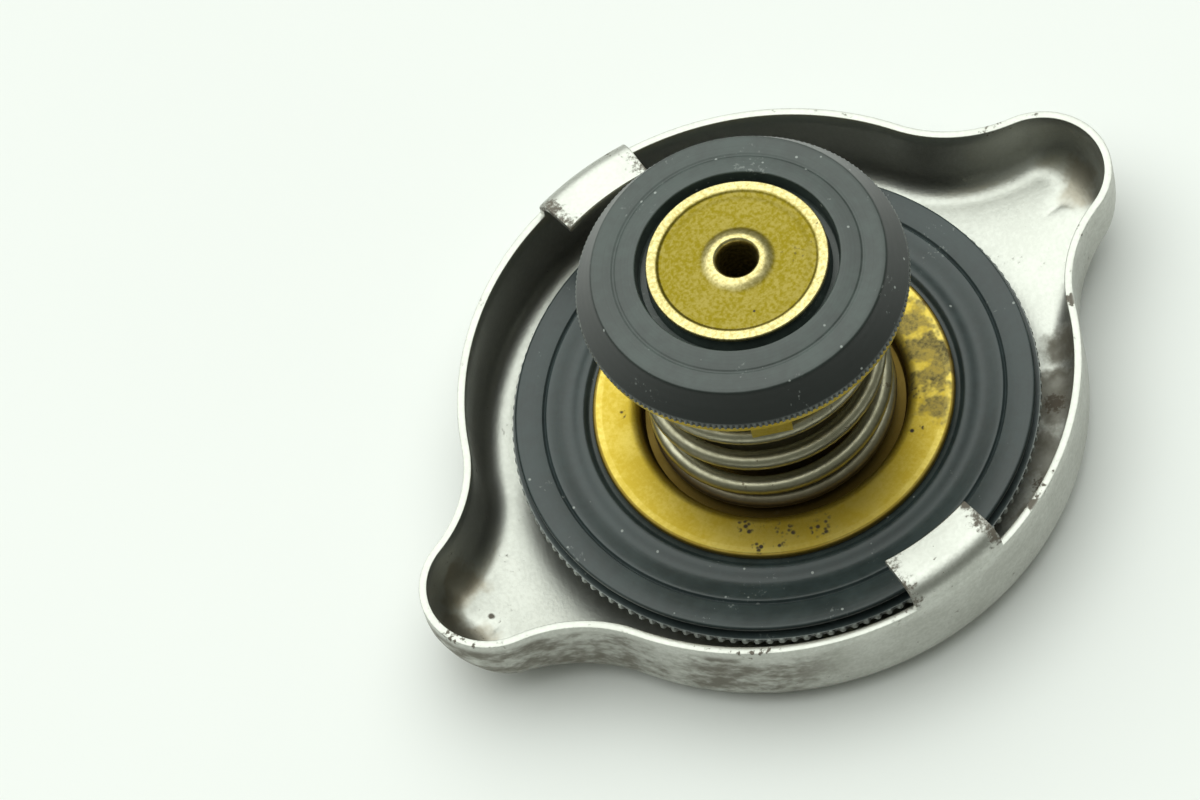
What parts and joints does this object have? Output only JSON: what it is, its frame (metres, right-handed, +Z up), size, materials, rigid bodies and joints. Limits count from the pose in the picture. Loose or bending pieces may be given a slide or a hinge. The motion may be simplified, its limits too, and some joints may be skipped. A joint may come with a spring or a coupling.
{
  "type": "radiator cap",
  "caption": "Used radiator pressure cap: eared steel shell with lock tabs, swivelling rubber-sealed core, spring-loaded pressure valve and brass vacuum valve.",
  "frame": {"origin": "on the table under the middle of the cap, which lies on its outer face", "axes": "+Z up along the cap's axis towards the valve, +X through an ear, +Y through a lock tab"},
  "size_m": [0.0836, 0.0622, 0.0335],
  "materials": {
    "shell_zinc": "zinc-plated pressed steel, dulled and speckled with brown grime",
    "plain_steel": "plain drawn steel, slightly dull",
    "spring_steel": "drawn spring wire, warm grey sheen",
    "gasket_rubber": "moulded black rubber, satin, dusty",
    "seal_rubber": "moulded black rubber, satin, turned lines and dust",
    "holder_brass": "pressed brass, satin, stained",
    "valve_brass": "pressed brass, brighter at the rim"
  },
  "bodies": {
    "shell": {"cap_shell": "shell_zinc"},
    "core": {"centre_rivet": "plain_steel", "spring_disc": "plain_steel", "neck_gasket": "gasket_rubber", "valve_holder": "holder_brass", "guide_sleeve": "plain_steel", "pressure_spring": "spring_steel"},
    "pressure_valve": {"valve_plate": "holder_brass", "valve_guide": "plain_steel", "pressure_seal": "seal_rubber", "vacuum_spring": "spring_steel"},
    "vacuum_valve": {"vacuum_valve": "valve_brass", "spring_keeper": "plain_steel"}
  },
  "joints": [
    {"name": "core_swivel", "type": "hinge", "parent": "shell", "child": "core", "pos_m": [0, 0, 0.004], "axis": [0, 0, 1], "continuous": true},
    {"name": "pressure_slide", "type": "slide", "parent": "core", "child": "pressure_valve", "axis": [0, 0, -1], "range_m": [0, 0.004], "stiffness_N_per_m": 2300, "deforming": ["pressure_spring"]},
    {"name": "vacuum_slide", "type": "slide", "parent": "pressure_valve", "child": "vacuum_valve", "axis": [0, 0, 1], "range_m": [0, 0.002], "stiffness_N_per_m": 800, "deforming": ["vacuum_spring"]}
  ]
}
